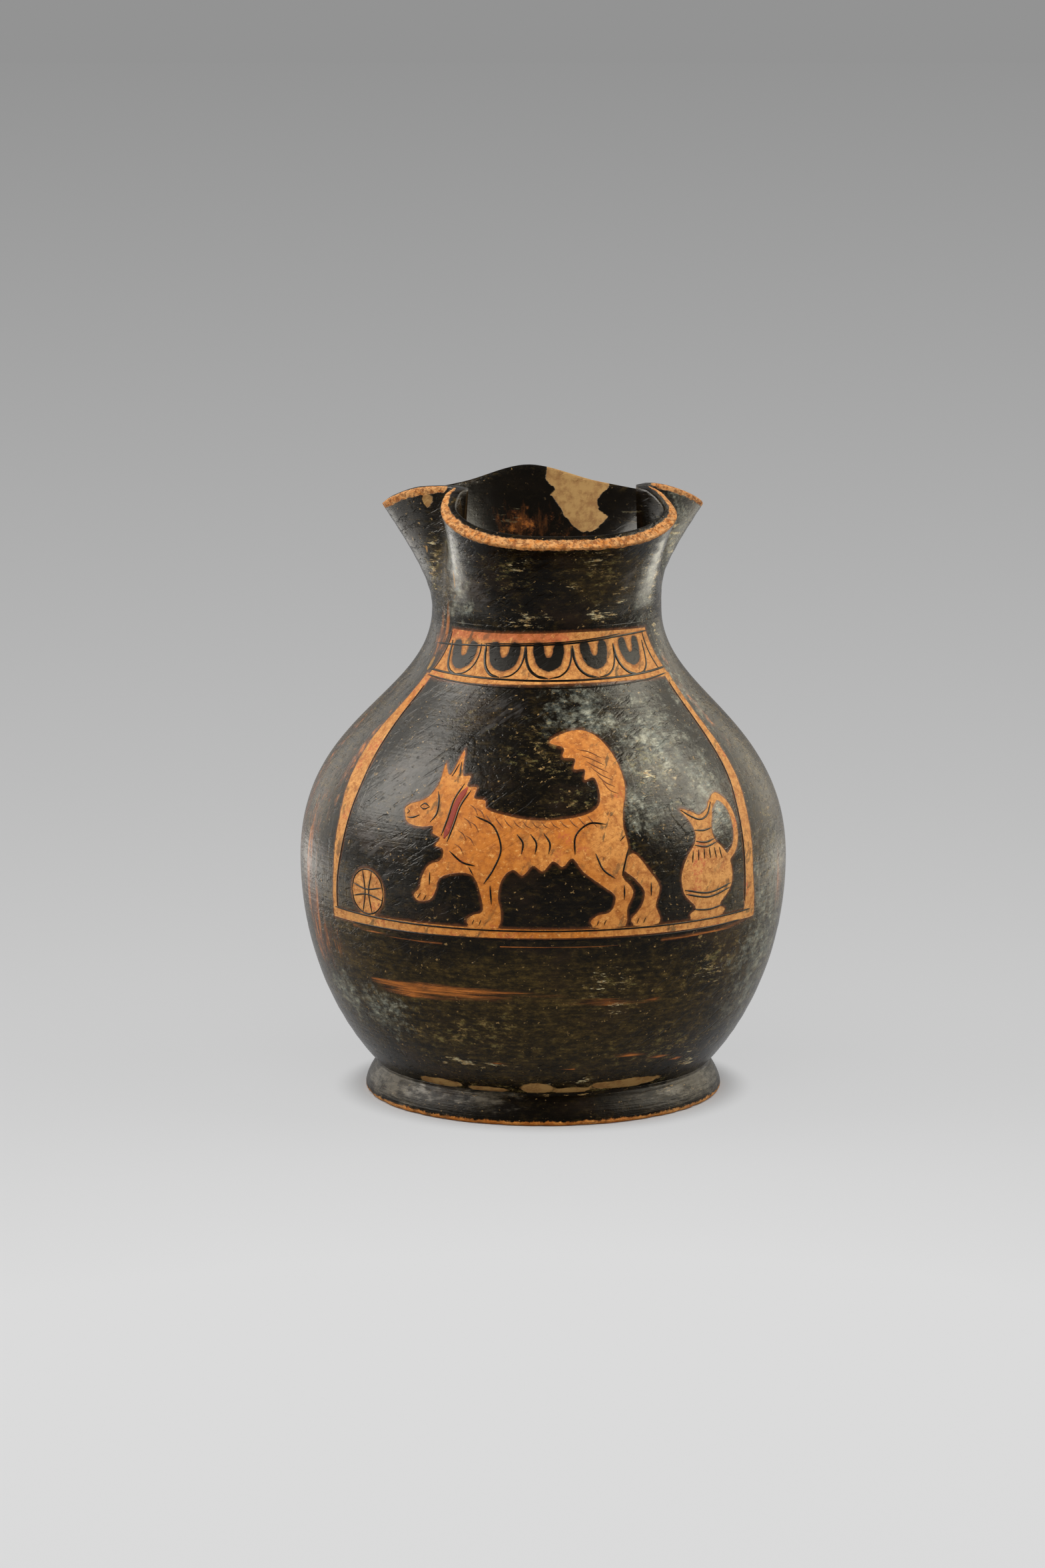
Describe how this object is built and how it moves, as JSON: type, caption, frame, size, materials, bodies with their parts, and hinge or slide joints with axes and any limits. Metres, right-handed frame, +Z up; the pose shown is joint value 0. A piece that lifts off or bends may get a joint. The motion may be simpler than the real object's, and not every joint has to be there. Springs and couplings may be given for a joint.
{
  "type": "chous jug",
  "caption": "Small fired-clay jug with a round body, three-lobed pouring mouth, low ring foot and a strap handle at the back.",
  "frame": {"origin": "on the standing surface, under the middle of the whole jug's box", "axes": "+Z up, -Y towards the pouring lobe, +Y towards the handle, +X to the pourer's right hand side seen from the spout"},
  "size_m": [0.0702, 0.076, 0.0886],
  "materials": {
    "body_clay": "black gloss slip over orange fired clay, with a reserved orange panel at the front, worn to bare clay at the lip",
    "foot_clay": "black gloss slip, worn to orange clay at the standing edge",
    "handle_clay": "black gloss slip, slightly worn along its edges"
  },
  "bodies": {
    "root": {"body": "body_clay", "foot": "foot_clay", "handle": "handle_clay"}
  },
  "joints": []
}
